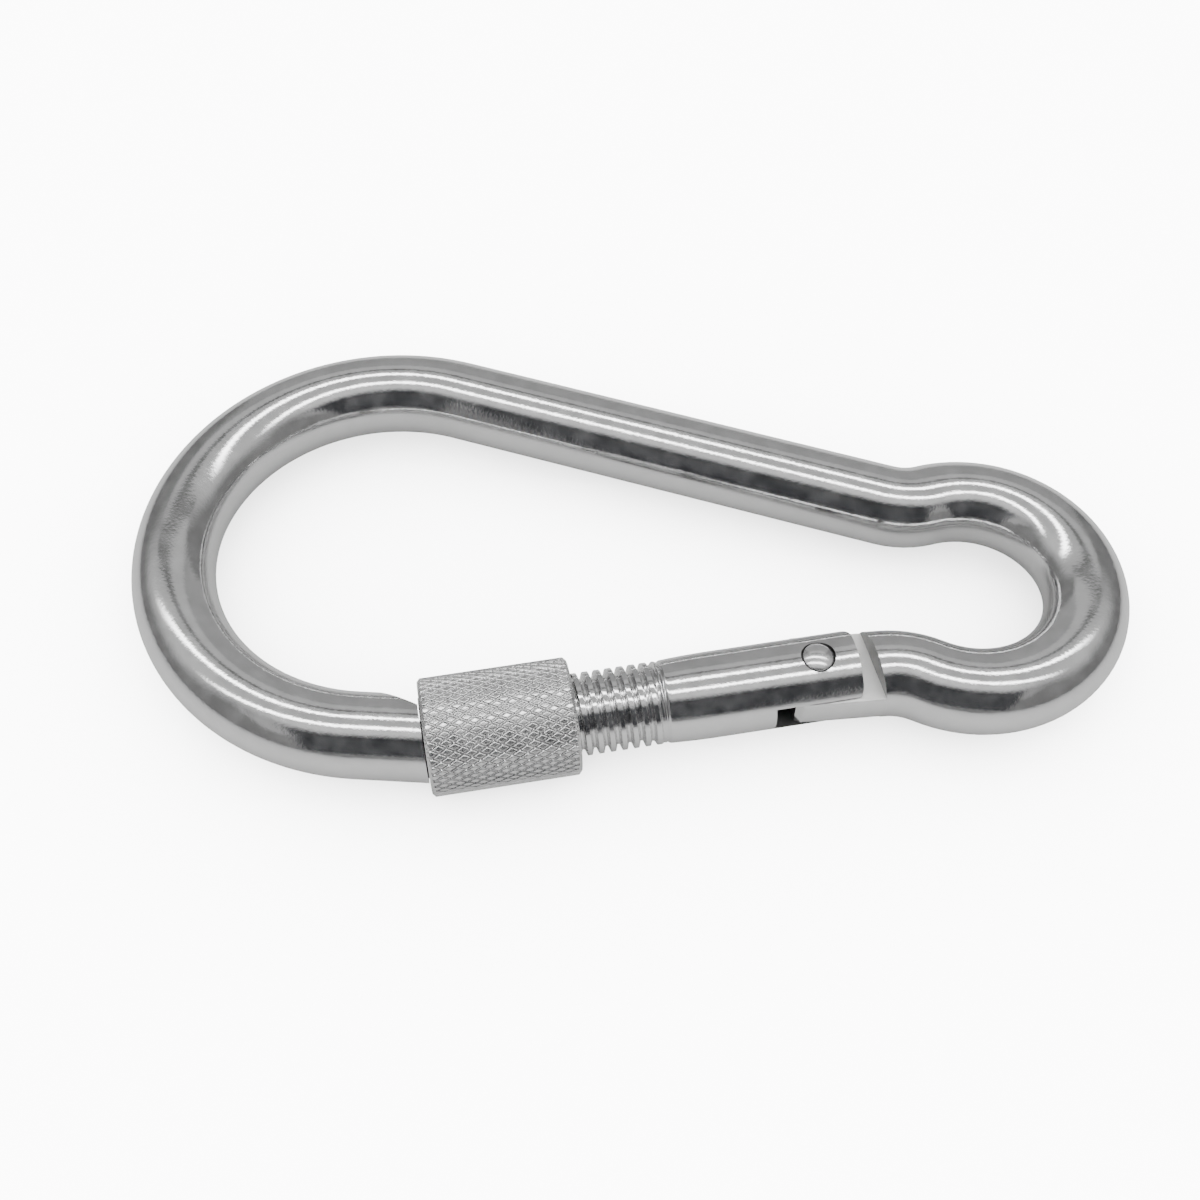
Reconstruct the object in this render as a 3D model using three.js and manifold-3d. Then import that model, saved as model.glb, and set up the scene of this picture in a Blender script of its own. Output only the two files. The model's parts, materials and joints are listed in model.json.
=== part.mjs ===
// Screw-lock snap hook, bent from round bar: a small eye at one end, a wide bow at the other,
// and a sprung gate whose knurled nut runs over the joint between gate and nose.
// Millimetres. +X from the bow to the eye, +Y from the gate to the spine, +Z up as the hook lies flat.
// The origin is the middle of the underside of the whole hook.
import * as THREE from "three";
import { mergeVertices } from "three/addons/utils/BufferGeometryUtils.js";
import Module from "manifold-3d";

// Bent bar. All bend radii are to the centreline.
const BAR_R = 6.5;
const BOW_R = 33.5;
const EYE_X = 91.5; // eye centre from the bow's centre
const EYE_R = 18;
const SPINE_OFFSET = 12.92; // from the eye's centre to the line of the spine
const SPINE_NECK_R = 11;
const TAIL_ANGLE = 10.3; // slope of the bar that carries the hinge, degrees
const TAIL_OFFSET = 13.32; // from the eye's centre to the line of that bar
const TAIL_NECK_R = 13.1;
const NOSE_ANGLE = 1.6;
const NOSE_LENGTH = 14; // of straight bar, before the gate's end is cut out of it
const BAR_SIDES = 24;
const BOW_STEP = 7.7; // most degrees of bend per facet
const EYE_STEP = 9;
const NECK_STEP = 11;

// Gate: distances along its axis are measured from the hinge pin, towards the eye positive
const GATE_R = BAR_R;
const JOINT_X = 10.4; // where the gate's axis meets the nose's, from the bow's centre
const EAR_END = 0.9 * BAR_R;
const EAR_CORNER_R = 3.2; // inner corner, which swings past the pocket wall
const EAR_OUTER_CORNER_R = 1.6;
const THREAD_R = BAR_R - 0.3; // crests just below the bar's own surface
const THREAD_PITCH = 1.75;
const THREAD_DEPTH = 1.0;
const THREAD_CREST = 0.3; // width of the flat on the crest
const THREAD_FLANK = 30; // degrees, half of the groove's angle
const THREAD_START = -23.4;
const THREAD_RUNOUT = 0.45; // from the shoulder to the first crest
const THREAD_TAPER = 8; // length over which the gate grows from thread to full diameter
const THREAD_STEPS = 12; // per turn
const THREAD_SINK = 0.2; // ridge into the core, so that the two join
const THREAD_RELIEF = 0.5; // cone at either end of the core
const COLLAR_LENGTH = 0.8; // plain end of the gate, beyond the thread
const COLLAR_CHAMFER = 0.3;
const TIP_PAST_NUT = 0.2; // gate's end beyond the nut's rim at rest

// Hinge
const PIN_R = 2.4;
const PIN_EDGE = BAR_R - 0.4; // height of the head's rim, from the gate's axis
const PIN_DOME = 0.8;
const TONGUE_HALF = 2.5;
const TONGUE_TIP = 4.2;
const TONGUE_CUT = 2; // length of the cut-off corner
const TONGUE_CUT_HEIGHT = 1.3;
const SLOT_BASE = 7.3;
const POCKET_WALL = EAR_END + 2.75;
const POCKET_TILT = 4; // degrees off square to the gate
const NECK_FROM_WALL = 1.5; // straight bar between the pocket wall and the neck
const PLUNGER_RATE = 2.5; // mm of plunger travel per radian of gate
const GATE_OPEN = 45; // degrees

// Plunger and spring, in a bore beside the gate's axis
const BORE_OFFSET = 2.3;
const PLUNGER_R = 1.85;
const PLUNGER_LENGTH = 4.6;
const PLUNGER_CROWN = 0.2;
const BORE_END = -19.4;
const WIRE_R = 0.3;
const SPRING_R = 1.45; // mean
const SPRING_TURNS = 7;

// Latch: a tongue on the gate enters a slot in the nose
const LATCH_HALF = 2.0;
const LATCH_LENGTH = 4.1;
const LATCH_BOTTOM = -3.2; // from the gate's axis
const LATCH_TOP = 1.9;
const LATCH_CORNER = 0.8;
const NOSE_SLOT_CLEAR = 0.3;
const NOSE_BEVEL_FROM_RIM = 7.3; // from the nut's rim to the start of the flat inside the nose
const NOSE_BEVEL_ANGLE = 41; // degrees off the gate's axis

// Lock nut, as it stands at rest with its rim at the joint between gate and nose
const NUT_R = BAR_R + 2.3;
const NUT_LENGTH = 22.2;
const NUT_FROM_JOINT = 0.5; // from the joint's middle to the rim
const NUT_CHAMFER = 0.5;
const NUT_BORE_R = THREAD_R + 0.25;
const NUT_LEAD = 0.5; // taper at either end of the bore
const NUT_SKIRT_R = BAR_R + 0.7; // counterbore that passes over the nose
const NUT_SKIRT_DEPTH = 4;
const NUT_SIDES = 48;

// Clearances
const RUNNING = 0.15; // beside a face that slides or turns
const PRESS = 0.1; // radial, around a rivet or in a bore
const REST_GAP = 0.05; // between faces that touch in use

// Tools that join or cut
const ROOT_DEPTH = 3; // of a tongue inside the body it grows from
const PAST = 20; // reach of a cutting tool past the hinge, clear of every piece near it
const FINE_SIDES = 24;

const STEEL = { color: 0xc4c6c9, roughness: 0.18, metalness: 1 };
const KNURLED_STEEL = { color: 0xb4b6b9, roughness: 0.34, metalness: 1 };
const RIVET_STEEL = { color: 0xb0b2b5, roughness: 0.28, metalness: 1 };
const SPRING_STEEL = { color: 0x9da0a4, roughness: 0.3, metalness: 1 };

const wasm = await Module();
wasm.setup();

const rad = THREE.MathUtils.degToRad;
const polar = (r, angle) => new THREE.Vector2(r * Math.cos(angle), r * Math.sin(angle));
const heading = (degrees) => polar(1, rad(degrees));
const leftOf = (v) => new THREE.Vector2(-v.y, v.x);

// ---- Solids

function toSolid(geometry) {
  const bare = geometry.clone().deleteAttribute("normal").deleteAttribute("uv");
  const merged = mergeVertices(bare, 1e-4);
  const mesh = new wasm.Mesh({
    numProp: 3,
    vertProperties: merged.attributes.position.array,
    triVerts: new Uint32Array(merged.index.array),
  });
  return new wasm.Manifold(mesh);
}

function toGeometry(solid) {
  const { vertProperties, triVerts } = solid.getMesh();
  const geometry = new THREE.BufferGeometry();
  geometry.setAttribute("position", new THREE.BufferAttribute(vertProperties, 3));
  geometry.setIndex(new THREE.BufferAttribute(triVerts, 1));
  const flat = geometry.toNonIndexed();
  flat.computeVertexNormals();
  return flat;
}

function named(name, solid, finish) {
  const mesh = new THREE.Mesh(toGeometry(solid), new THREE.MeshStandardMaterial(finish));
  mesh.name = name;
  return mesh;
}

// Corner radius of a regular polygon drawn round a circle, so that its flats touch the circle.
const around = (r, sides) => r / Math.cos(Math.PI / sides);

// A body of revolution about X through points (x, radius), listed with x rising.
function turned(points, sides = BAR_SIDES) {
  const profile = points.map(([x, r]) => new THREE.Vector2(around(r, sides), x));
  const lathe = new THREE.LatheGeometry(profile, sides);
  lathe.rotateZ(-Math.PI / 2);
  lathe.rotateX(Math.PI / 2 + Math.PI / sides);
  return toSolid(lathe);
}

// A plate of the outline, level at z = 0, reaching the given height to either side.
function plate(outline, half) {
  const geometry = new THREE.ExtrudeGeometry(new THREE.Shape(outline), {
    depth: 2 * half,
    bevelEnabled: false,
  });
  geometry.translate(0, 0, -half);
  return toSolid(geometry);
}

function block(x0, x1, y0, y1, z0, z1) {
  const box = new THREE.BoxGeometry(x1 - x0, y1 - y0, z1 - z0);
  box.translate((x0 + x1) / 2, (y0 + y1) / 2, (z0 + z1) / 2);
  return toSolid(box);
}

// A post along Z through (x, y).
function post(x, y, r, half, sides = BAR_SIDES) {
  const corner = around(r, sides);
  const cylinder = new THREE.CylinderGeometry(corner, corner, 2 * half, sides);
  cylinder.rotateX(Math.PI / 2);
  cylinder.translate(x, y, 0);
  return toSolid(cylinder);
}

// A path given by its stations: points with the tangent and the section's own two axes.
class StationPath extends THREE.Curve {
  constructor(stations) {
    super();
    this.stations = stations;
  }
  getSpacedPoints() {
    return this.stations.map((s) => s.point);
  }
  computeFrenetFrames() {
    return {
      tangents: this.stations.map((s) => s.tangent),
      normals: this.stations.map((s) => s.normal),
      binormals: this.stations.map((s) => s.tangent.clone().cross(s.normal)),
    };
  }
}

function swept(section, stations) {
  const geometry = new THREE.ExtrudeGeometry(new THREE.Shape(section), {
    extrudePath: new StationPath(stations),
    steps: stations.length - 1,
  });
  return toSolid(geometry);
}

const polygon = (r, sides, turn = 0) =>
  Array.from({ length: sides }, (_, i) => polar(around(r, sides), ((i + turn) * 2 * Math.PI) / sides));

// ---- Bent bar: its centreline in the plane z = 0, about the bow's centre

function flatStation(point, tangent) {
  return {
    point: new THREE.Vector3(point.x, point.y, 0),
    tangent: new THREE.Vector3(tangent.x, tangent.y, 0),
    normal: new THREE.Vector3(0, 0, 1),
  };
}

// Stations round a bend, from one angle to another: corners of the chords drawn round the arc,
// the first and last of which carry on the straights. Both ends touch the arc.
function bend(centre, r, from, to, step) {
  const sense = Math.sign(to - from);
  const parts = Math.ceil(Math.abs(to - from) / step);
  const each = (to - from) / parts;
  const corner = r / Math.cos(rad(each / 2));
  return Array.from({ length: parts }, (_, k) => {
    const out = heading(from + (k + 0.5) * each);
    return flatStation(out.clone().multiplyScalar(corner).add(centre), leftOf(out).multiplyScalar(sense));
  });
}

// Centre of a neck bend that leaves a straight (through start, along way) on the given side
// and meets the eye from outside.
function neckCentre(start, way, side, r) {
  const base = start.clone().addScaledVector(side, r);
  const across = base.clone().sub(eye);
  const along = across.dot(way);
  const reach = EYE_R + r;
  const run = -along - Math.sqrt(along * along - across.lengthSq() + reach * reach);
  return base.addScaledVector(way, run);
}

const degreesOf = (v) => THREE.MathUtils.radToDeg(Math.atan2(v.y, v.x));

// Lines of the straights, and from them the hinge pin and the gate
const bow = new THREE.Vector2(0, 0);
const eye = new THREE.Vector2(EYE_X, 0);
const spineAngle = THREE.MathUtils.radToDeg(Math.asin((BOW_R - SPINE_OFFSET) / EYE_X));
const noseOut = 270 + NOSE_ANGLE;
const noseWay = heading(NOSE_ANGLE);
const noseFoot = polar(BOW_R, rad(noseOut));

const tailWay = heading(TAIL_ANGLE);
const tailFoot = eye.clone().addScaledVector(leftOf(tailWay), -TAIL_OFFSET);
const tailNeck = neckCentre(tailFoot, tailWay, leftOf(tailWay).negate(), TAIL_NECK_R);
const tailReach = tailNeck.clone().sub(tailFoot).dot(tailWay) - POCKET_WALL - NECK_FROM_WALL;
const pin = tailFoot.clone().addScaledVector(tailWay, tailReach);

const joint = noseFoot.clone().addScaledVector(noseWay, (JOINT_X - noseFoot.x) / noseWay.x);
const gateLength = pin.distanceTo(joint);
const gateAngle = degreesOf(pin.clone().sub(joint));
const gateAcross = leftOf(heading(gateAngle));
const nutLeft = NUT_FROM_JOINT - gateLength;
const gateTip = nutLeft - TIP_PAST_NUT;
const latchEnd = gateTip - LATCH_LENGTH;
const bevelStart = nutLeft - NOSE_BEVEL_FROM_RIM;
const gateSphere = Math.hypot(nutLeft, NUT_R - NUT_CHAMFER) + RUNNING;

function barStations() {
  const noseStart = noseFoot.clone().addScaledVector(noseWay, NOSE_LENGTH);
  const spineWay = heading(-spineAngle);
  const spineStart = polar(BOW_R, rad(90 - spineAngle));
  const spineNeck = neckCentre(spineStart, spineWay, leftOf(spineWay), SPINE_NECK_R);
  const spineToEye = degreesOf(eye.clone().sub(spineNeck));
  const tailToEye = degreesOf(eye.clone().sub(tailNeck));

  return [
    flatStation(noseStart, noseWay.clone().negate()),
    ...bend(bow, BOW_R, noseOut, 180, BOW_STEP),
    ...bend(bow, BOW_R, 180, 90 - spineAngle, BOW_STEP),
    ...bend(spineNeck, SPINE_NECK_R, -90 - spineAngle, spineToEye, NECK_STEP),
    ...bend(eye, EYE_R, 180 + spineToEye, 0, EYE_STEP),
    ...bend(eye, EYE_R, 0, tailToEye - 180, EYE_STEP),
    ...bend(tailNeck, TAIL_NECK_R, tailToEye, 90 + TAIL_ANGLE, NECK_STEP),
    flatStation(pin, tailWay.clone().negate()),
  ];
}

// ---- Pieces about the gate's own frame: pin at the origin, X along the gate towards the eye

function onGate(solid) {
  return solid.rotate([0, 0, gateAngle]).translate([pin.x, pin.y, 0]);
}

// Edge of the hinge tongue that lifts the plunger at a constant rate as the gate turns.
function camEdge() {
  const points = [];
  for (let degrees = 0; degrees <= GATE_OPEN + 3; degrees += 3) {
    const t = rad(degrees);
    const lift = TONGUE_TIP + PLUNGER_RATE * t;
    points.push(new THREE.Vector2(
      -lift * Math.cos(t) + PLUNGER_RATE * Math.sin(t),
      lift * Math.sin(t) + PLUNGER_RATE * Math.cos(t),
    ));
  }
  return points;
}

// The bar that carries the hinge, left standing as a plate between the gate's two ears.
function hingeTongue() {
  const root = POCKET_WALL + ROOT_DEPTH;
  const edge = camEdge();
  const barEdge = Math.sqrt(BAR_R * BAR_R - TONGUE_HALF * TONGUE_HALF);
  const inside = BAR_R - PRESS;
  const rootTop = barEdge - root * Math.tan(rad(gateAngle - TAIL_ANGLE)) - RUNNING;
  const outline = [
    new THREE.Vector2(root, -2 * BAR_R),
    new THREE.Vector2(root, rootTop),
    ...edge.reverse(),
    new THREE.Vector2(-TONGUE_TIP, -BAR_R + TONGUE_CUT_HEIGHT),
    new THREE.Vector2(-TONGUE_TIP + TONGUE_CUT, -BAR_R),
  ];
  const bar = turned([[-PAST, 0], [-PAST, inside], [PAST, inside], [PAST, 0]]);
  return plate(outline.reverse(), TONGUE_HALF)
    .intersect(bar.rotate([0, 0, TAIL_ANGLE - gateAngle]));
}

// Everything between the pocket wall and the sphere that the nut's rim sweeps is cut from the bar.
function gateSpace() {
  const reach = 1.6 * NUT_R;
  const half = 2 * BAR_R;
  const parts = 6;
  const rim = [];
  for (let i = 0; i <= parts; i += 1) {
    const r = (reach * i) / parts;
    rim.push([-Math.sqrt(gateSphere * gateSphere - r * r), r]);
  }
  const space = turned([...rim, [-PAST, reach], [-PAST, 0]], NUT_SIDES);
  const wallTilt = Math.tan(rad(POCKET_TILT));
  const pocket = plate([
    new THREE.Vector2(POCKET_WALL - PAST * wallTilt, PAST),
    new THREE.Vector2(-1.5 * PAST, PAST),
    new THREE.Vector2(-1.5 * PAST, -PAST),
    new THREE.Vector2(POCKET_WALL + PAST * wallTilt, -PAST),
  ], half);
  return space.add(pocket);
}

function noseSlot() {
  const half = LATCH_HALF + NOSE_SLOT_CLEAR;
  return block(latchEnd - NOSE_SLOT_CLEAR, nutLeft + 1, LATCH_BOTTOM - REST_GAP, 3 * BAR_R, -half, half);
}

function noseBevel() {
  const slope = Math.tan(rad(NOSE_BEVEL_ANGLE));
  const top = noseInnerSide();
  const run = 2 * BAR_R;
  return plate([
    new THREE.Vector2(bevelStart, top),
    new THREE.Vector2(bevelStart + run, top - run * slope),
    new THREE.Vector2(bevelStart + run, top + run),
    new THREE.Vector2(bevelStart, top + run),
  ], 2 * BAR_R);
}

// Height of the nose's inner side above the gate's axis where the bevel starts.
function noseInnerSide() {
  const along = heading(gateAngle);
  const crest = polar(BOW_R - BAR_R, rad(noseOut)).sub(pin);
  const run = (bevelStart - crest.dot(along)) / noseWay.dot(along);
  return crest.addScaledVector(noseWay, run).dot(gateAcross);
}

function frameSolid() {
  const bar = swept(polygon(BAR_R, BAR_SIDES, 0.5), barStations());
  const cuts = gateSpace().add(noseSlot()).add(noseBevel());
  return bar
    .subtract(onGate(cuts))
    .add(onGate(hingeTongue()))
    .subtract(post(pin.x, pin.y, PIN_R + RUNNING + PRESS, 2 * BAR_R));
}

// ---- Gate

// A right-hand ridge, wound from the shoulder towards the nose.
function threadRidge() {
  const turns = (THREAD_START - gateTip - COLLAR_LENGTH - 1) / THREAD_PITCH;
  const lead = THREAD_PITCH / (2 * Math.PI);
  const count = Math.round(turns * THREAD_STEPS);
  const depth = THREAD_DEPTH + THREAD_SINK;
  const root = THREAD_CREST + 2 * depth * Math.tan(rad(THREAD_FLANK));
  const section = [
    new THREE.Vector2(-depth, -root / 2),
    new THREE.Vector2(0, -THREAD_CREST / 2),
    new THREE.Vector2(0, THREAD_CREST / 2),
    new THREE.Vector2(-depth, root / 2),
  ];
  const stations = [];
  for (let i = 0; i <= count; i += 1) {
    const angle = (i * 2 * Math.PI) / THREAD_STEPS;
    const out = new THREE.Vector3(0, Math.cos(angle), -Math.sin(angle));
    const towardsNose = new THREE.Vector3(-1, 0, 0);
    stations.push({
      point: out.clone().multiplyScalar(THREAD_R).setX(THREAD_START - THREAD_RUNOUT - lead * angle),
      tangent: new THREE.Vector3().crossVectors(towardsNose, out),
      normal: out,
    });
  }
  return swept(section, stations);
}

function gateBar() {
  const core = THREAD_R - THREAD_DEPTH;
  return turned([
    [gateTip, 0],
    [gateTip, THREAD_R - COLLAR_CHAMFER],
    [gateTip + COLLAR_CHAMFER, THREAD_R],
    [gateTip + COLLAR_LENGTH, THREAD_R],
    [gateTip + COLLAR_LENGTH + THREAD_RELIEF, core],
    [THREAD_START - THREAD_RELIEF, core],
    [THREAD_START, THREAD_R],
    [THREAD_START + THREAD_TAPER, GATE_R],
    [EAR_END, GATE_R],
    [EAR_END, 0],
  ]);
}

// Side view of the gate with its two ear corners rounded, as a tool that trims the turned bar.
function earOutline() {
  const side = GATE_R + 1;
  const shape = new THREE.Shape();
  shape.moveTo(gateTip - 1, -side);
  shape.lineTo(EAR_END - EAR_OUTER_CORNER_R, -GATE_R);
  shape.absarc(EAR_END - EAR_OUTER_CORNER_R, -GATE_R + EAR_OUTER_CORNER_R, EAR_OUTER_CORNER_R,
    -Math.PI / 2, 0, false);
  shape.absarc(EAR_END - EAR_CORNER_R, GATE_R - EAR_CORNER_R, EAR_CORNER_R, 0, Math.PI / 2, false);
  shape.lineTo(gateTip - 1, side);
  return shape.getPoints(6);
}

function latchTongue() {
  const root = gateTip + ROOT_DEPTH;
  return plate([
    new THREE.Vector2(latchEnd, LATCH_BOTTOM),
    new THREE.Vector2(latchEnd, LATCH_TOP - LATCH_CORNER),
    new THREE.Vector2(latchEnd + LATCH_CORNER, LATCH_TOP),
    new THREE.Vector2(root, LATCH_TOP),
    new THREE.Vector2(root, LATCH_BOTTOM),
  ], LATCH_HALF);
}

function plungerBore() {
  const r = PLUNGER_R + RUNNING;
  return turned([[BORE_END, 0], [BORE_END, r], [-SLOT_BASE + 1, r], [-SLOT_BASE + 1, 0]], FINE_SIDES)
    .translate([0, BORE_OFFSET, 0]);
}

function gateSolid() {
  const slotHalf = TONGUE_HALF + RUNNING;
  const slot = block(-SLOT_BASE, 2 * EAR_END, -2 * GATE_R, 2 * GATE_R, -slotHalf, slotHalf);
  return gateBar()
    .add(threadRidge())
    .intersect(plate(earOutline(), 2 * GATE_R))
    .add(latchTongue())
    .subtract(slot)
    .subtract(plungerBore())
    .subtract(post(0, 0, PIN_R + PRESS, 2 * GATE_R));
}

// ---- Small pieces

function nutSolid() {
  const left = nutLeft;
  const right = nutLeft + NUT_LENGTH;
  const skirt = left + NUT_SKIRT_DEPTH;
  return turned([
    [left, NUT_SKIRT_R],
    [left, NUT_R - NUT_CHAMFER],
    [left + NUT_CHAMFER, NUT_R],
    [right - NUT_CHAMFER, NUT_R],
    [right, NUT_R - NUT_CHAMFER],
    [right, NUT_BORE_R + NUT_LEAD],
    [right - NUT_LEAD, NUT_BORE_R],
    [skirt + NUT_LEAD, NUT_BORE_R],
    [skirt, NUT_SKIRT_R],
    [left, NUT_SKIRT_R],
  ], NUT_SIDES);
}

// A pin through both ears with a low domed head at each end, turned about X and stood up along Z.
function rivetSolid() {
  const parts = 4;
  const head = [];
  for (let i = 0; i <= parts; i += 1) {
    const angle = ((i / parts) * Math.PI) / 2;
    head.push([PIN_EDGE + PIN_DOME * Math.sin(angle), PIN_R * Math.cos(angle)]);
  }
  head.at(-1)[1] = 0;
  const foot = head.map(([x, r]) => [-x, r]).reverse();
  return turned([...foot, ...head]).rotate([0, -90, 0]);
}

const plungerFace = -TONGUE_TIP - REST_GAP;
const plungerTail = plungerFace - PLUNGER_LENGTH;

function plungerSolid() {
  return turned([
    [plungerTail, 0],
    [plungerTail, PLUNGER_R],
    [plungerFace - PLUNGER_CROWN, PLUNGER_R],
    [plungerFace, PLUNGER_R - PLUNGER_CROWN],
    [plungerFace, 0],
  ], FINE_SIDES).translate([0, BORE_OFFSET, 0]);
}

function springSolid() {
  const first = BORE_END + WIRE_R + REST_GAP;
  const last = plungerTail - WIRE_R - REST_GAP;
  const steps = 12;
  const stations = [];
  for (let i = 0; i <= SPRING_TURNS * steps; i += 1) {
    const angle = (i * 2 * Math.PI) / steps;
    const out = new THREE.Vector3(0, Math.cos(angle), Math.sin(angle));
    stations.push({
      point: out.clone().multiplyScalar(SPRING_R)
        .add(new THREE.Vector3(first + ((last - first) * i) / (SPRING_TURNS * steps), BORE_OFFSET, 0)),
      tangent: new THREE.Vector3().crossVectors(new THREE.Vector3(1, 0, 0), out).normalize(),
      normal: out,
    });
  }
  return swept(polygon(WIRE_R, 6), stations);
}

// ---- Assembly

const hook = new THREE.Group();
hook.add(named("frame", frameSolid(), STEEL));

const gateGroup = new THREE.Group();
gateGroup.position.set(pin.x, pin.y, 0);
gateGroup.rotation.z = rad(gateAngle);
gateGroup.add(
  named("gate", gateSolid(), STEEL),
  named("lock_nut", nutSolid(), KNURLED_STEEL),
  named("hinge_rivet", rivetSolid(), RIVET_STEEL),
  named("gate_spring", springSolid(), SPRING_STEEL),
  named("spring_plunger", plungerSolid(), RIVET_STEEL),
);
hook.add(gateGroup);

const extent = new THREE.Box3().setFromObject(hook, true);
const middle = extent.getCenter(new THREE.Vector3());
hook.position.set(-middle.x, -middle.y, -extent.min.z);

export default hook;
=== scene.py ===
"""Screw-lock snap hook in polished stainless steel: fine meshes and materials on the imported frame."""

import json
import math

import bpy
import numpy as np
from mathutils import Matrix


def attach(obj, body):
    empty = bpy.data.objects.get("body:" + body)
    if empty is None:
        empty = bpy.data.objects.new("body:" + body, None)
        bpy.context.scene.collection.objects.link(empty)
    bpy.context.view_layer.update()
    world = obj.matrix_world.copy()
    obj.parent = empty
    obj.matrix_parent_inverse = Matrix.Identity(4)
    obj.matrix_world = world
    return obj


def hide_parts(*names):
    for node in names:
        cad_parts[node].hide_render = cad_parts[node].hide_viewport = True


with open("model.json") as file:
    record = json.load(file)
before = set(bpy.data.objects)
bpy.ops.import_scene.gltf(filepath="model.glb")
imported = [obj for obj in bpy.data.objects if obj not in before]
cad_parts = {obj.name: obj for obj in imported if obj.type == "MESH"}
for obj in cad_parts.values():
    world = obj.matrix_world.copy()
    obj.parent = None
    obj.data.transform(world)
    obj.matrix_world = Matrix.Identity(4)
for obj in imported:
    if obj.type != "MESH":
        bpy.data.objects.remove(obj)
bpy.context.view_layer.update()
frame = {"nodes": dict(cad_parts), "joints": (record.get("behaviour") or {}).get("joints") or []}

# Lengths below are in millimetres; meshes are scaled to metres when they are made.
MM = 0.001
BAR_R = 6.475
BOW_R = 33.5
EYE_R = 18.0
EYE_FROM_BOW = 91.5
SPINE_ANGLE = 13.0
SPINE_NECK_R = 11.0
TAIL_ANGLE = 10.3
TAIL_NECK_R = 13.1
NOSE_ANGLE = 1.6
NOSE_LENGTH = 14.0
NOSE_BEVEL_START = -66.2
NOSE_BEVEL_ANGLE = 41.0
PIN_FROM_BOW = np.array([67.8017, -17.8449])
BAR_SIDES = 112
BAR_STEP = 1.1  # between stations round a bend
PIN_SIDES = 64

# Cutting tools reach this far past the hinge along the gate, and to either side of a plate
PAST = 20
HALF = 13
ROOT = 3  # depth of a tongue inside the body it grows from

THREAD_R = 6.2
THREAD_DEPTH = 1.0
THREAD_PITCH = 1.75
THREAD_START = -23.4
THREAD_TAPER = 8.0  # over which the gate grows from thread to full diameter
THREAD_PHASE = 0.24
THREAD_RUNOUT = 3.2  # over which the groove reaches its full depth
SHOULDER_NECK = 0.22  # depth of the fine groove between thread and shoulder
SHOULDER_WIDTH = 0.28
SEEN_THREAD = 16  # length beside the shoulder that gets the finer stations
GATE_TIP = -59.1
COLLAR_LENGTH = 0.8
COLLAR_CHAMFER = 0.3
LATCH_END = -63.2
LATCH_HALF = 2.0
LATCH_BOTTOM = -3.2
LATCH_TOP = 1.9
LATCH_CORNER = 0.8
SLOT_CLEAR = 0.3  # around the latch in the nose
EAR_END = 5.85
EAR_CORNER_R = 3.2
EAR_OUTER_CORNER_R = 1.6
SLOT_BASE = 7.3
SLOT_HALF = 2.65
TONGUE_HALF = 2.42
TONGUE_TIP = 4.2
TONGUE_CUT = 2.0  # length and height of the cut-off corner
TONGUE_CUT_HEIGHT = 1.3
PLUNGER_RATE = 2.5
PLUNGER_BORE_R = 2.0
PLUNGER_BORE_END = -19.4
PLUNGER_OFFSET = 2.3
POCKET_WALL = 8.6
POCKET_TILT = 4.0
PIN_R = 2.4
PIN_EDGE = 6.1
PIN_DOME = 0.8
PIN_GROOVE = 0.17
PIN_HOLE_CLEAR = 0.25
PIN_EDGE_ROUND = 0.06

NUT_R = 8.795
NUT_LEFT = -58.9
NUT_LENGTH = 22.2
NUT_BORE_R = 6.45
NUT_SKIRT_R = 7.15
NUT_SKIRT_DEPTH = 4.0
NUT_CHAMFER = 0.5
NUT_LEAD = 0.5
RIM_CLEAR = 0.05  # between the nut's rim and the nose as the gate swings
KNURLS = 42
KNURL_DEPTH = 0.3
KNURL_PITCH = 2.28
KNURL_GROOVE = 0.4

CAMERA_AIM = np.array([34.43, -6.26, 0.0])
CAMERA_DISTANCE = 261.7
CAMERA_ELEVATION = 55.25
CAMERA_AZIMUTH = 5.363
CAMERA_ROLL = -0.345
CAMERA_LENS = 50.525

FLOOR = 3000
DOME_LEVEL = 13.0
ROOM_LEVEL = 0.19

# Places of the two finishes and of the painted shade in each mesh's list of materials; the third is
# near-black steel, painted shade on faces in slots, pockets, bores and gaps
POLISHED, MACHINED, PAINTED_SHADE = range(3)

joint = {j["name"]: j for j in frame["joints"]}
pin = np.array(joint["gate_hinge"]["pos_m"]) / MM
gate_way = np.array(joint["nut_slide"]["axis"])
BAR_Z = pin[2]
BOW_X, BOW_Y = pin[:2] - PIN_FROM_BOW
GATE_ANGLE = math.degrees(math.atan2(gate_way[1], gate_way[0]))

GATE_TO_ROW = Matrix.Translation(pin) @ Matrix.Rotation(math.radians(GATE_ANGLE), 4, "Z")


# ---- Mesh helpers

def make_object(name, points, faces, matrix=None):
    """A mesh object from points in millimetres, moved by matrix, also in millimetres."""
    mesh = bpy.data.meshes.new(name)
    mesh.from_pydata([tuple(p) for p in points], [], [tuple(f) for f in faces])
    if matrix is not None:
        mesh.transform(matrix)
    mesh.update()
    for _ in (POLISHED, MACHINED, PAINTED_SHADE):
        mesh.materials.append(None)
    obj = bpy.data.objects.new(name, mesh)
    bpy.context.scene.collection.objects.link(obj)
    return obj


def grid_faces(rows, columns):
    """Quads of a grid closed round its columns, with a fan of one face at each end."""
    r, c = np.meshgrid(np.arange(rows - 1), np.arange(columns), indexing="ij")
    after = (c + 1) % columns
    quads = np.stack([r * columns + c, r * columns + after,
                      (r + 1) * columns + after, (r + 1) * columns + c], axis=-1)
    first = list(range(columns))[::-1]
    last = [(rows - 1) * columns + i for i in range(columns)]
    return [*map(tuple, quads.reshape(-1, 4)), tuple(first), tuple(last)]


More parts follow.
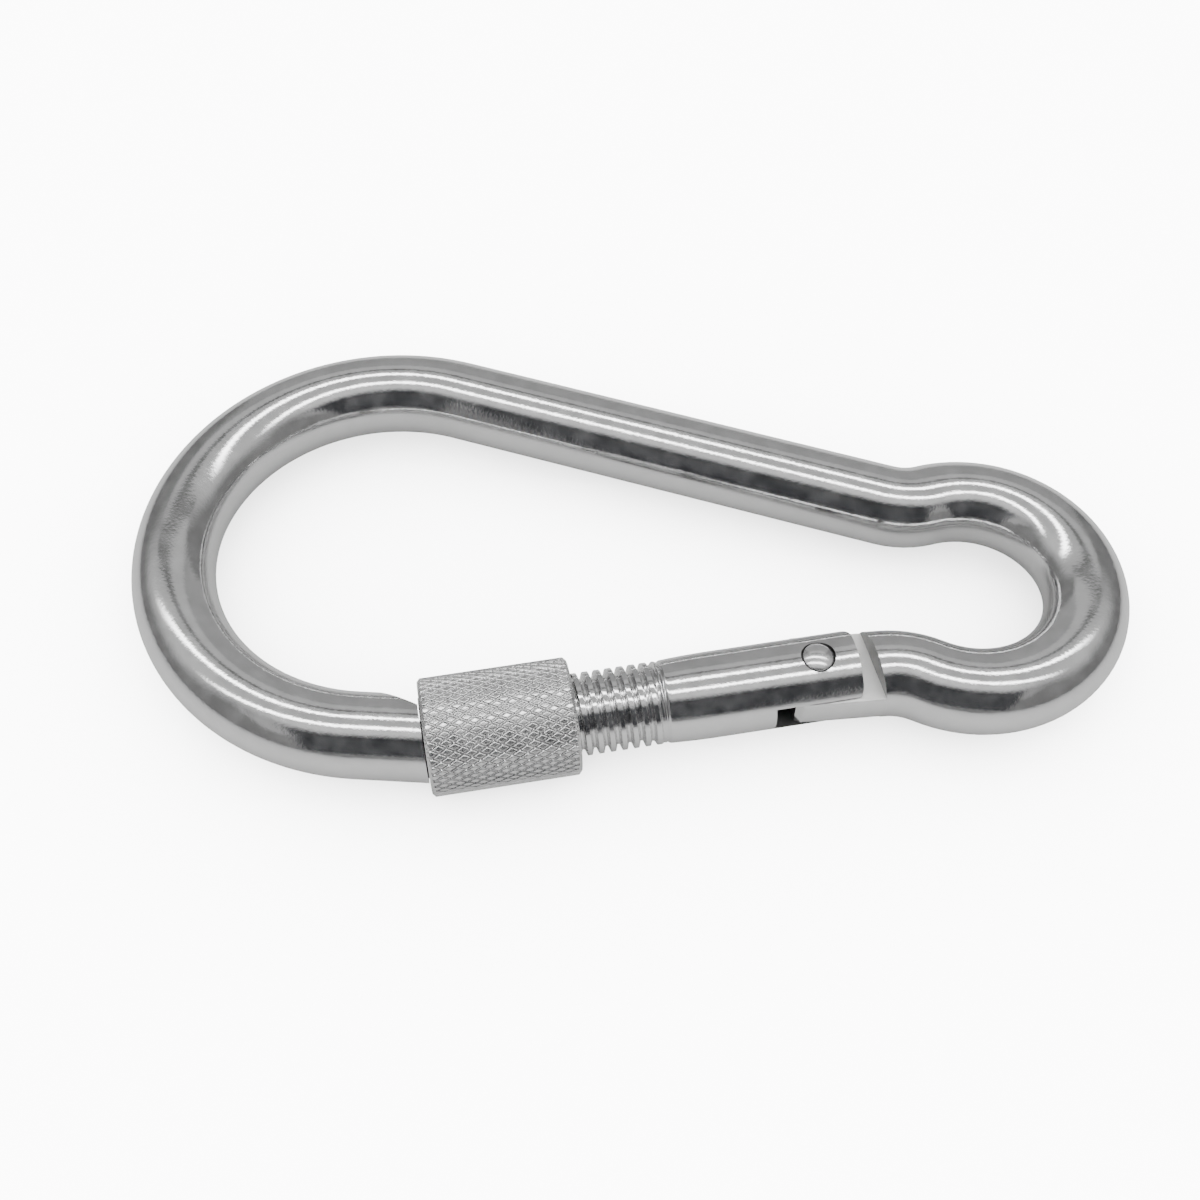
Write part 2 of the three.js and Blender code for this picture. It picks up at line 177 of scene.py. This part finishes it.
def revolve(name, stations, radius, sides, matrix=None):
    """A solid round X: radius gives a row of radii for the stations and the angles round the axis."""
    x = np.asarray(stations, float)[:, None]
    angle = np.linspace(0, 2 * math.pi, sides, endpoint=False)[None, :]
    r = np.broadcast_to(radius(x, angle), (len(stations), sides))
    points = np.stack([np.broadcast_to(x, r.shape), r * np.cos(angle), r * np.sin(angle)], axis=-1)
    return make_object(name, points.reshape(-1, 3), grid_faces(len(stations), sides), matrix)


def turned(name, profile, sides, matrix=None):
    """A solid round X through points (x, radius)."""
    radii = np.array([max(r, 1e-3) for _, r in profile])[:, None]
    return revolve(name, [x for x, _ in profile], lambda x, angle: radii, sides, matrix)


def plate(name, outline, half, matrix=None):
    """A plate of the outline in the plane z = 0, reaching half to either side."""
    count = len(outline)
    points = [(x, y, -half) for x, y in outline] + [(x, y, half) for x, y in outline]
    sides = [(i, (i + 1) % count, count + (i + 1) % count, count + i) for i in range(count)]
    faces = [tuple(range(count))[::-1], tuple(range(count, 2 * count)), *sides]
    return make_object(name, points, faces, matrix)


def boolean(obj, other, operation, finish_or_painted_shade=MACHINED):
    """Applies the boolean to obj and removes the other object, whose faces take the finish or the painted
    shade.
    """
    if finish_or_painted_shade is not None:
        other.data.polygons.foreach_set("material_index", [finish_or_painted_shade] * len(other.data.polygons))
    modifier = obj.modifiers.new("cut", "BOOLEAN")
    modifier.operation = operation
    modifier.solver = "MANIFOLD"
    modifier.object = other
    apply_modifiers(obj)
    bpy.data.objects.remove(other)


def apply_modifiers(obj):
    evaluated = obj.evaluated_get(bpy.context.evaluated_depsgraph_get())
    mesh = bpy.data.meshes.new_from_object(evaluated)
    obj.modifiers.clear()
    old = obj.data
    obj.data = mesh
    bpy.data.meshes.remove(old)


def arc(centre, r, start, end, count):
    """Points round a circle, angles in degrees."""
    angles = np.radians(np.linspace(start, end, count))
    return [(centre[0] + r * math.cos(a), centre[1] + r * math.sin(a)) for a in angles]


# ---- Bent bar

def heading(degrees):
    return np.array([math.cos(math.radians(degrees)), math.sin(math.radians(degrees))])


def left_of(v):
    return np.array([-v[1], v[0]])


def degrees_of(v):
    return math.degrees(math.atan2(v[1], v[0]))


def bend(centre, r, start, end):
    """Stations (point, tangent) round a bend, from one angle to another."""
    sense = np.sign(end - start)
    count = max(3, round(math.radians(abs(end - start)) * r / BAR_STEP) + 1)
    return [(centre + r * heading(a), sense * left_of(heading(a)))
            for a in np.linspace(start, end, count)]


def straight(start, end):
    """Stations strictly between two points."""
    way = (end - start) / np.linalg.norm(end - start)
    count = max(2, round(np.linalg.norm(end - start) / BAR_STEP))
    return [(start + (end - start) * k / count, way) for k in range(1, count)]


def neck_centre(start, way, side, r, eye):
    """Centre of a bend that leaves a straight on the given side and meets the eye from outside."""
    base = start + r * side
    across = base - eye
    along = across @ way
    run = -along - math.sqrt(along * along - across @ across + (EYE_R + r) ** 2)
    return base + run * way


def bar_stations():
    bow = np.array([BOW_X, BOW_Y])
    eye = bow + np.array([EYE_FROM_BOW, 0])
    nose_out = 270 + NOSE_ANGLE
    nose_foot = bow + BOW_R * heading(nose_out)
    nose_start = nose_foot + NOSE_LENGTH * heading(NOSE_ANGLE)

    spine_way = heading(-SPINE_ANGLE)
    spine_start = bow + BOW_R * heading(90 - SPINE_ANGLE)
    spine_neck = neck_centre(spine_start, spine_way, left_of(spine_way), SPINE_NECK_R, eye)
    spine_to_eye = degrees_of(eye - spine_neck)

    tail_way = heading(TAIL_ANGLE)
    tail_start = pin[:2]
    tail_neck = neck_centre(tail_start, tail_way, -left_of(tail_way), TAIL_NECK_R, eye)
    tail_to_eye = degrees_of(eye - tail_neck)

    bow_bend = bend(bow, BOW_R, nose_out, 90 - SPINE_ANGLE)
    spine_bend = bend(spine_neck, SPINE_NECK_R, -90 - SPINE_ANGLE, spine_to_eye)
    eye_bend = bend(eye, EYE_R, 180 + spine_to_eye, tail_to_eye - 180)
    tail_bend = bend(tail_neck, TAIL_NECK_R, tail_to_eye, 90 + TAIL_ANGLE)
    return [
        (nose_start, -heading(NOSE_ANGLE)),
        *straight(nose_start, nose_foot), *bow_bend,
        *straight(bow_bend[-1][0], spine_bend[0][0]), *spine_bend,
        *eye_bend[1:], *tail_bend[1:],
        *straight(tail_bend[-1][0], tail_start), (tail_start, -tail_way),
    ]


def swept_bar(name, stations):
    angle = np.linspace(0, 2 * math.pi, BAR_SIDES, endpoint=False)
    rows = []
    for point, way in stations:
        side = left_of(way)
        across = BAR_R * np.cos(angle)
        rows.append(np.stack([point[0] + side[0] * across, point[1] + side[1] * across,
                              BAR_Z + BAR_R * np.sin(angle)], axis=-1))
    points = np.concatenate(rows)
    return make_object(name, points, grid_faces(len(stations), BAR_SIDES))


def cam_edge():
    """Edge of the hinge tongue that the plunger follows, from the shut gate to past fully open."""
    points = []
    for degrees in np.linspace(0, 48, 33):
        t = math.radians(degrees)
        lift = TONGUE_TIP + PLUNGER_RATE * t
        points.append((-lift * math.cos(t) + PLUNGER_RATE * math.sin(t),
                       lift * math.sin(t) + PLUNGER_RATE * math.cos(t)))
    return points


def hinge_tongue():
    """The bar that carries the hinge, left standing as a plate between the gate's ears."""
    root = POCKET_WALL + ROOT
    edge = cam_edge()
    bar_edge = math.sqrt(BAR_R ** 2 - TONGUE_HALF ** 2)
    root_top = bar_edge - root * math.tan(math.radians(GATE_ANGLE - TAIL_ANGLE)) - 0.15
    tip_corner = [(-TONGUE_TIP, -BAR_R + TONGUE_CUT_HEIGHT), (-TONGUE_TIP + TONGUE_CUT, -BAR_R)]
    outline = [(root, root_top), *edge[::-1], *tip_corner, (root, -2 * BAR_R)]
    tongue = plate("tongue", outline, TONGUE_HALF)
    for polygon in tongue.data.polygons:
        seen_finish = MACHINED if abs(polygon.normal.z) > 0.5 else POLISHED
        # The tip face, down in the gate's slot, gets the near-black painted shade
        polygon.material_index = PAINTED_SHADE if polygon.normal.x < -0.9 else seen_finish
    turn = Matrix.Rotation(math.radians(TAIL_ANGLE - GATE_ANGLE), 4, "Z")
    inside = turned("inside", [(-PAST, BAR_R - 0.01), (PAST, BAR_R - 0.01)], BAR_SIDES, turn)
    boolean(tongue, inside, "INTERSECT", POLISHED)
    tongue.data.transform(GATE_TO_ROW)
    return tongue


def gate_space():
    """What the nut's rim sweeps as the gate opens, cut from the nose as a hollow ball end."""
    sphere = math.hypot(NUT_LEFT, NUT_R - NUT_CHAMFER) + RIM_CLEAR
    reach = 1.6 * NUT_R
    rim = [(-math.sqrt(sphere ** 2 - r ** 2), r) for r in np.linspace(0, reach, 24)]
    return turned("space", [*rim, (-PAST, reach)], 160, GATE_TO_ROW)


def pocket():
    """Clears the bar on the nose's side of the wall that faces the gate's ears."""
    tilt = math.tan(math.radians(POCKET_TILT))
    far = -1.5 * PAST
    outline = [(POCKET_WALL - PAST * tilt, PAST), (far, PAST), (far, -PAST),
               (POCKET_WALL + PAST * tilt, -PAST)]
    return plate("pocket", outline, HALF, GATE_TO_ROW)


def nose_slot():
    end = LATCH_END - SLOT_CLEAR
    open_end = NUT_LEFT + 1
    floor = LATCH_BOTTOM - 0.05
    outline = [(end, floor), (open_end, floor), (open_end, PAST), (end, PAST)]
    return plate("slot", outline, LATCH_HALF + SLOT_CLEAR, GATE_TO_ROW)


def nose_bevel():
    start = NOSE_BEVEL_START
    slope = math.tan(math.radians(NOSE_BEVEL_ANGLE))
    along = heading(GATE_ANGLE)
    crest = np.array([BOW_X, BOW_Y]) + (BOW_R - BAR_R) * heading(270 + NOSE_ANGLE) - pin[:2]
    way = heading(NOSE_ANGLE)
    top = (crest + (start - crest @ along) / (way @ along) * way) @ left_of(along)
    run = 12
    outline = [(start, top), (start + run, top - run * slope), (start + run, top + run),
               (start, top + run)]
    return plate("bevel", outline, HALF, GATE_TO_ROW)


def post(name, r, half):
    """A round post along Z through the hinge pin."""
    turn = Matrix.Rotation(-math.pi / 2, 4, "Y")
    return turned(name, [(-half, r), (half, r)], PIN_SIDES, Matrix.Translation(pin) @ turn)


def build_frame():
    bar = swept_bar("hook_frame", bar_stations())
    # Faces cut by the gate space, the pocket and the slot get the near-black painted shade
    boolean(bar, gate_space(), "DIFFERENCE", PAINTED_SHADE)
    boolean(bar, pocket(), "DIFFERENCE", PAINTED_SHADE)
    boolean(bar, nose_slot(), "DIFFERENCE", PAINTED_SHADE)
    boolean(bar, nose_bevel(), "DIFFERENCE", MACHINED)
    boolean(bar, hinge_tongue(), "UNION", None)
    boolean(bar, post("pin_hole", PIN_R + PIN_HOLE_CLEAR, HALF), "DIFFERENCE")
    return bar


# ---- Gate

def thread_shape(x, angle):
    """Depth of the thread's groove, from 0 on a crest to 1 at the root, right-handed."""
    phase = (x - THREAD_START) / THREAD_PITCH - THREAD_PHASE - angle / (2 * math.pi)
    offset = np.abs((phase % 1) - 0.5) * 2
    return np.clip((offset - 0.40) / 0.42, 0, 1)


def gate_radius(x, angle):
    """Radius of the turned gate, with its thread, its plain collar and the shoulder."""
    groove = thread_shape(x, angle)
    groove = 0.75 * groove + 0.25 * groove * groove * (3 - 2 * groove)
    runout = np.clip((THREAD_START - 0.2 - x) / THREAD_RUNOUT, 0, 1) ** 0.7
    tip = np.clip((x - GATE_TIP) / COLLAR_CHAMFER, 0, 1)
    swell = np.clip((x - THREAD_START) / THREAD_TAPER, 0, 1)
    plain = THREAD_R + (BAR_R - THREAD_R) * (1 - (1 - swell) ** 2)
    neck = SHOULDER_NECK * np.exp(-(((x - THREAD_START) / SHOULDER_WIDTH) ** 2))
    threaded = THREAD_R - THREAD_DEPTH * groove * runout
    threaded = np.where(x < GATE_TIP + COLLAR_LENGTH, THREAD_R, threaded)
    threaded = np.minimum(threaded, THREAD_R - COLLAR_CHAMFER * (1 - tip))
    return np.where(x < THREAD_START, threaded, plain) - neck


def gate_blank():
    """The gate as turned: threaded from its tip to the shoulder, plain from there to the ears."""
    stations = [
        *np.arange(GATE_TIP, THREAD_START - SEEN_THREAD, THREAD_PITCH / 20),
        *np.arange(THREAD_START - SEEN_THREAD, THREAD_START + 1, THREAD_PITCH / 36),
        *np.linspace(THREAD_START + 1.05, THREAD_START + THREAD_TAPER - 0.5, 24),
        *np.linspace(THREAD_START + THREAD_TAPER, EAR_END + 1, 24),
    ]
    return revolve("hook_gate", stations, gate_radius, BAR_SIDES)


def ear_outline():
    side = BAR_R + 1
    return [
        (GATE_TIP - 1, -side),
        (EAR_END - EAR_OUTER_CORNER_R - 0.3, -side),
        *arc((EAR_END - EAR_OUTER_CORNER_R, -BAR_R + EAR_OUTER_CORNER_R), EAR_OUTER_CORNER_R, -90, 0, 10),
        *arc((EAR_END - EAR_CORNER_R, BAR_R - EAR_CORNER_R), EAR_CORNER_R, 0, 90, 24),
        (EAR_END - EAR_CORNER_R - 0.3, side),
        (GATE_TIP - 1, side),
    ]


def latch_outline():
    root = GATE_TIP + 2
    corner = (LATCH_END + LATCH_CORNER, LATCH_TOP - LATCH_CORNER)
    return [(root, LATCH_TOP), (corner[0], LATCH_TOP), *arc(corner, LATCH_CORNER, 90, 180, 6),
            (LATCH_END, LATCH_BOTTOM), (root, LATCH_BOTTOM)]


def build_gate():
    gate = gate_blank()
    boolean(gate, plate("ears", ear_outline(), HALF), "INTERSECT", POLISHED)
    between = [(-SLOT_BASE, -HALF), (HALF, -HALF), (HALF, HALF), (-SLOT_BASE, HALF)]
    # The slot between the ears, the plunger bore and the ring round the pin get the near-black painted
    # shade
    boolean(gate, plate("slot", between, SLOT_HALF), "DIFFERENCE", PAINTED_SHADE)
    boolean(gate, plate("latch", latch_outline(), LATCH_HALF), "UNION")
    bore = [(PLUNGER_BORE_END, PLUNGER_BORE_R), (-SLOT_BASE + 1, PLUNGER_BORE_R)]
    beside = Matrix.Translation((0, PLUNGER_OFFSET, 0))
    boolean(gate, turned("bore", bore, 48, beside), "DIFFERENCE", PAINTED_SHADE)
    gate.data.transform(GATE_TO_ROW)
    boolean(gate, post("pin_hole", PIN_R + PIN_GROOVE, HALF), "DIFFERENCE", PAINTED_SHADE)
    return gate


# ---- Nut and rivet

def knurl(x, angle):
    """Height of the diamond knurl, from 0 in its grooves to 1 on the diamonds."""
    turns = KNURLS * angle / (2 * math.pi)
    rise = x / KNURL_PITCH
    first = np.abs(((turns + rise) % 1) - 0.5) * 2
    second = np.abs(((turns - rise) % 1) - 0.5) * 2
    walls = np.minimum(1 - first, 1 - second)
    return np.clip(walls / KNURL_GROOVE, 0, 1) ** 0.8


def nut_radius(x, angle):
    from_rim = np.minimum(x - NUT_LEFT, NUT_LEFT + NUT_LENGTH - x)
    rim = np.clip(from_rim / 0.45, 0, 1)
    chamfer = NUT_R - NUT_CHAMFER * (1 - rim)
    depth = KNURL_DEPTH * np.clip((from_rim - 0.1) / 0.6, 0, 1)
    return chamfer - depth * (1 - knurl(x, angle))


def build_nut():
    stations = np.linspace(NUT_LEFT, NUT_LEFT + NUT_LENGTH, 240)
    nut = revolve("hook_nut", stations, nut_radius, KNURLS * 20)
    right = NUT_LEFT + NUT_LENGTH
    skirt_end = NUT_LEFT + NUT_SKIRT_DEPTH
    bore = [(NUT_LEFT - 1, NUT_SKIRT_R + 0.3), (NUT_LEFT, NUT_SKIRT_R + 0.3),
            (NUT_LEFT + 0.3, NUT_SKIRT_R), (skirt_end, NUT_SKIRT_R),
            (skirt_end + NUT_LEAD, NUT_BORE_R), (right - NUT_LEAD, NUT_BORE_R),
            (right, NUT_BORE_R + NUT_LEAD), (right + 1, NUT_BORE_R + NUT_LEAD)]
    boolean(nut, turned("bore", bore, 128), "DIFFERENCE")
    nut.data.transform(GATE_TO_ROW)
    return nut


def build_rivet():
    ball = (PIN_R ** 2 + PIN_DOME ** 2) / (2 * PIN_DOME)
    dome = [(PIN_EDGE + PIN_DOME - ball + math.sqrt(ball ** 2 - r ** 2), r)
            for r in np.linspace(0, PIN_R - PIN_EDGE_ROUND, 16)]
    edge = [(PIN_EDGE - PIN_EDGE_ROUND, PIN_R)]
    profile = [(-x, r) for x, r in dome + edge] + (dome + edge)[::-1]
    turn = Matrix.Rotation(-math.pi / 2, 4, "Y")
    return turned("hook_rivet", profile, PIN_SIDES, Matrix.Translation(pin) @ turn)


# ---- Materials

def node_material(name):
    material = bpy.data.materials.new(name)
    material.use_nodes = True
    nodes = material.node_tree.nodes
    shader = nodes["Principled BSDF"]
    return material, nodes, material.node_tree.links, shader


def polished_steel(name, base, rough_low, rough_high, scratch):
    """Bright stainless: fine speckle and hairline scratches in its roughness and relief."""
    material, nodes, links, shader = node_material(name)
    shader.inputs["Metallic"].default_value = 1.0
    place = nodes.new("ShaderNodeTexCoord")

    cloud = nodes.new("ShaderNodeTexNoise")
    cloud.inputs["Scale"].default_value = 420
    cloud.inputs["Detail"].default_value = 6
    links.new(place.outputs["Object"], cloud.inputs["Vector"])

    tone = nodes.new("ShaderNodeValToRGB")
    tone.color_ramp.elements[0].position = 0.35
    tone.color_ramp.elements[0].color = (*[c * 0.96 for c in base], 1)
    tone.color_ramp.elements[1].position = 0.65
    tone.color_ramp.elements[1].color = (*base, 1)
    links.new(cloud.outputs["Fac"], tone.inputs["Fac"])
    links.new(tone.outputs["Color"], shader.inputs["Base Color"])

    rough = nodes.new("ShaderNodeMapRange")
    rough.inputs["To Min"].default_value = rough_low
    rough.inputs["To Max"].default_value = rough_high
    rough.inputs["From Min"].default_value = 0.35
    rough.inputs["From Max"].default_value = 0.7
    links.new(cloud.outputs["Fac"], rough.inputs["Value"])
    links.new(rough.outputs["Result"], shader.inputs["Roughness"])

    speckle = nodes.new("ShaderNodeTexNoise")
    speckle.inputs["Scale"].default_value = 1900
    speckle.inputs["Detail"].default_value = 3
    links.new(place.outputs["Object"], speckle.inputs["Vector"])
    bump = nodes.new("ShaderNodeBump")
    bump.inputs["Strength"].default_value = scratch
    bump.inputs["Distance"].default_value = 0.00002
    links.new(speckle.outputs["Fac"], bump.inputs["Height"])
    links.new(bump.outputs["Normal"], shader.inputs["Normal"])
    return material


def finish_piece(obj, node, body, materials_and_painted_shade, sharp=32):
    """Shades the piece, gives it its material and puts it in the CAD node's place."""
    obj.data.transform(Matrix.Scale(MM, 4))
    for place, material in enumerate(materials_and_painted_shade):
        obj.data.materials[place] = material
    for polygon in obj.data.polygons:
        polygon.use_smooth = True
    obj.data.set_sharp_from_angle(angle=math.radians(sharp))
    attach(obj, body)
    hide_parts(node)


# ---- Studio

def add_floor():
    points = [(-FLOOR, -FLOOR, 0), (FLOOR, -FLOOR, 0), (FLOOR, FLOOR, 0), (-FLOOR, FLOOR, 0)]
    floor = make_object("floor", points, [(0, 1, 2, 3)])
    material, nodes, links, shader = node_material("pale_floor")
    shader.inputs["Roughness"].default_value = 0.7
    place = nodes.new("ShaderNodeTexCoord")
    reach = nodes.new("ShaderNodeVectorMath")
    reach.operation = "LENGTH"
    links.new(place.outputs["Object"], reach.inputs[0])
    fade = nodes.new("ShaderNodeMapRange")
    fade.inputs["From Min"].default_value = 0.07
    fade.inputs["From Max"].default_value = 0.32
    links.new(reach.outputs["Value"], fade.inputs["Value"])
    # Painted reflection: glossy rays see the floor far darker than the camera does, and darker still away
    # from the middle
    painted_reflection_tone = nodes.new("ShaderNodeMix")
    painted_reflection_tone.data_type = "RGBA"
    painted_reflection_tone.inputs["A"].default_value = (0.078, 0.078, 0.077, 1)
    painted_reflection_tone.inputs["B"].default_value = (0.030, 0.030, 0.030, 1)
    links.new(fade.outputs["Result"], painted_reflection_tone.inputs["Factor"])
    path = nodes.new("ShaderNodeLightPath")
    tone = nodes.new("ShaderNodeMix")
    tone.data_type = "RGBA"
    tone.inputs["A"].default_value = (0.9, 0.9, 0.9, 1)
    links.new(painted_reflection_tone.outputs["Result"], tone.inputs["B"])
    links.new(path.outputs["Is Glossy Ray"], tone.inputs["Factor"])
    links.new(tone.outputs["Result"], shader.inputs["Base Color"])
    floor.data.materials[0] = material


class Surroundings:
    """What the steel mirrors: a dim room, laid out by direction as seen from straight above.

    The middle of the plan is straight up, its rim is the horizon at radius 1, and y points
    away from the viewer. Each patch is a soft-edged area painted over the ones before it.
    """

    def __init__(self, tree, level):
        self.tree = tree
        place = tree.nodes.new("ShaderNodeTexCoord")
        split = tree.nodes.new("ShaderNodeSeparateXYZ")
        tree.links.new(place.outputs["Generated"], split.inputs[0])
        height = self.math("ADD", self.math("ABSOLUTE", split.outputs["Z"]), 1.0)
        self.x = self.math("DIVIDE", split.outputs["X"], height)
        self.y = self.math("DIVIDE", split.outputs["Y"], height)
        self.colour = tree.nodes.new("ShaderNodeRGB").outputs[0]
        self.colour.default_value = (level, level, level, 1)

    def math(self, operation, first, second=None):
        node = self.tree.nodes.new("ShaderNodeMath")
        node.operation = operation
        for socket, value in zip(node.inputs, (first, second)):
            if isinstance(value, bpy.types.NodeSocket):
                self.tree.links.new(value, socket)
            elif value is not None:
                socket.default_value = value
        return node.outputs[0]

    def inside(self, distance, soft):
        """1 where the distance past an edge is negative, 0 beyond the soft edge."""
        node = self.tree.nodes.new("ShaderNodeMapRange")
        node.interpolation_type = "SMOOTHSTEP"
        self.tree.links.new(distance, node.inputs["Value"])
        node.inputs["From Min"].default_value = soft / 2
        node.inputs["From Max"].default_value = -soft / 2
        return node.outputs["Result"]

    def patch(self, level, x, y, soft, fan=0.0, tint=(1, 1, 1)):
        """Paints from x[0] to x[1] and y[0] to y[1]; fan widens x by that much for each unit of y."""
        off_x = self.math("ABSOLUTE", self.math("SUBTRACT", self.x, (x[0] + x[1]) / 2))
        reach = self.math("MULTIPLY", self.math("ABSOLUTE", self.y), fan)
        off_x = self.math("SUBTRACT", self.math("SUBTRACT", off_x, reach), (x[1] - x[0]) / 2)
        off_y = self.math("ABSOLUTE", self.math("SUBTRACT", self.y, (y[0] + y[1]) / 2))
        off_y = self.math("SUBTRACT", off_y, (y[1] - y[0]) / 2)
        mix = self.tree.nodes.new("ShaderNodeMix")
        mix.data_type = "RGBA"
        cover = self.math("MULTIPLY", self.inside(off_x, soft[0]), self.inside(off_y, soft[1]))
        self.tree.links.new(cover, mix.inputs["Factor"])
        self.tree.links.new(self.colour, mix.inputs["A"])
        mix.inputs["B"].default_value = (*[level * part for part in tint], 1)
        self.colour = mix.outputs["Result"]


def add_world():
    """Even white light for the floor, and a room with two strip lights for the steel to mirror."""
    world = bpy.data.worlds.new("studio")
    bpy.context.scene.world = world
    world.use_nodes = True
    tree = world.node_tree

    room = Surroundings(tree, ROOM_LEVEL)
    room.patch(0.72, x=(-0.62, 0.56), y=(-0.14, 0.30), soft=(0.36, 0.26))
    room.patch(0.36, x=(-0.08, 0.06), y=(0.36, 2.0), soft=(0.08, 0.05), fan=0.5)
    room.patch(0.58, x=(-0.30, 0.24), y=(0.33, 0.46), soft=(0.14, 0.06))
    room.patch(0.10, x=(-0.33, 0.27), y=(0.285, 0.32), soft=(0.10, 0.05))
    room.patch(0.62, x=(-0.28, 0.24), y=(-0.03, 0.27), soft=(0.2, 0.06))
    room.patch(9.0, x=(-0.40, 0.30), y=(0.135, 0.185), soft=(0.30, 0.04))
    room.patch(0.9, x=(-0.3, 0.3), y=(-0.30, -0.06), soft=(0.3, 0.16))
    room.patch(9.0, x=(-0.36, 0.30), y=(-0.10, -0.05), soft=(0.26, 0.04))
    room.patch(0.44, x=(-0.42, -0.26), y=(-0.50, -0.24), soft=(0.08, 0.14))
    room.patch(0.34, x=(0.28, 0.40), y=(-0.50, -0.26), soft=(0.08, 0.14))
    room.patch(0.016, x=(-0.22, 0.25), y=(-0.85, -0.27), soft=(0.08, 0.16), fan=0.2,
               tint=(0.88, 0.98, 1.25))
    room.patch(0.22, x=(-0.6, 0.6), y=(-2.0, -0.87), soft=(0.3, 0.1))

    path = tree.nodes.new("ShaderNodeLightPath")
    pick = tree.nodes.new("ShaderNodeMix")
    pick.data_type = "RGBA"
    tree.links.new(path.outputs["Is Glossy Ray"], pick.inputs["Factor"])
    pick.inputs["A"].default_value = (DOME_LEVEL, DOME_LEVEL, DOME_LEVEL, 1)
    tree.links.new(room.colour, pick.inputs["B"])
    tree.links.new(pick.outputs["Result"], tree.nodes["Background"].inputs["Color"])


def add_camera():
    camera = bpy.data.objects.new("camera", bpy.data.cameras.new("camera"))
    bpy.context.scene.collection.objects.link(camera)
    aim = np.array([BOW_X, BOW_Y, BAR_Z]) + CAMERA_AIM
    elevation = math.radians(CAMERA_ELEVATION)
    turn = Matrix.Rotation(math.radians(CAMERA_AZIMUTH), 4, "Z")
    tilt = Matrix.Rotation(math.pi / 2 - elevation, 4, "X")
    roll = Matrix.Rotation(math.radians(CAMERA_ROLL), 4, "Z")
    away = Matrix.Translation((0, 0, CAMERA_DISTANCE * MM))
    camera.matrix_world = Matrix.Translation(aim * MM) @ turn @ tilt @ away @ roll
    camera.data.sensor_width = 36
    camera.data.lens = CAMERA_LENS
    camera.data.clip_start = 0.01
    bpy.context.scene.camera = camera


add_camera()
add_floor()
add_world()

mirror = polished_steel("polished_steel", (0.72, 0.72, 0.72), 0.06, 0.11, 0.6)
machined = polished_steel("machined_steel", (0.56, 0.56, 0.55), 0.3, 0.4, 0.8)
# Near-black steel: painted shade for faces in slots, pockets, bores and gaps
painted_shade_metal = polished_steel("painted_shade_steel", (0.08, 0.08, 0.08), 0.3, 0.42, 0.8)
knurled = polished_steel("knurled_steel", (0.61, 0.61, 0.61), 0.13, 0.2, 0.5)
rivet_metal = polished_steel("rivet_steel", (0.64, 0.64, 0.64), 0.12, 0.16, 0.4)
spring_metal = polished_steel("spring_steel", (0.56, 0.56, 0.57), 0.22, 0.3, 0.5)

finish_piece(build_frame(), "frame", "frame", (mirror, machined, painted_shade_metal))
finish_piece(build_gate(), "gate", "gate", (mirror, machined, painted_shade_metal))
finish_piece(build_nut(), "lock_nut", "nut", (knurled, machined, painted_shade_metal))
finish_piece(build_rivet(), "hinge_rivet", "gate", (rivet_metal,) * 3)
for node, material in (("gate_spring", spring_metal), ("spring_plunger", rivet_metal)):
    frame["nodes"][node].data.materials.clear()
    frame["nodes"][node].data.materials.append(material)
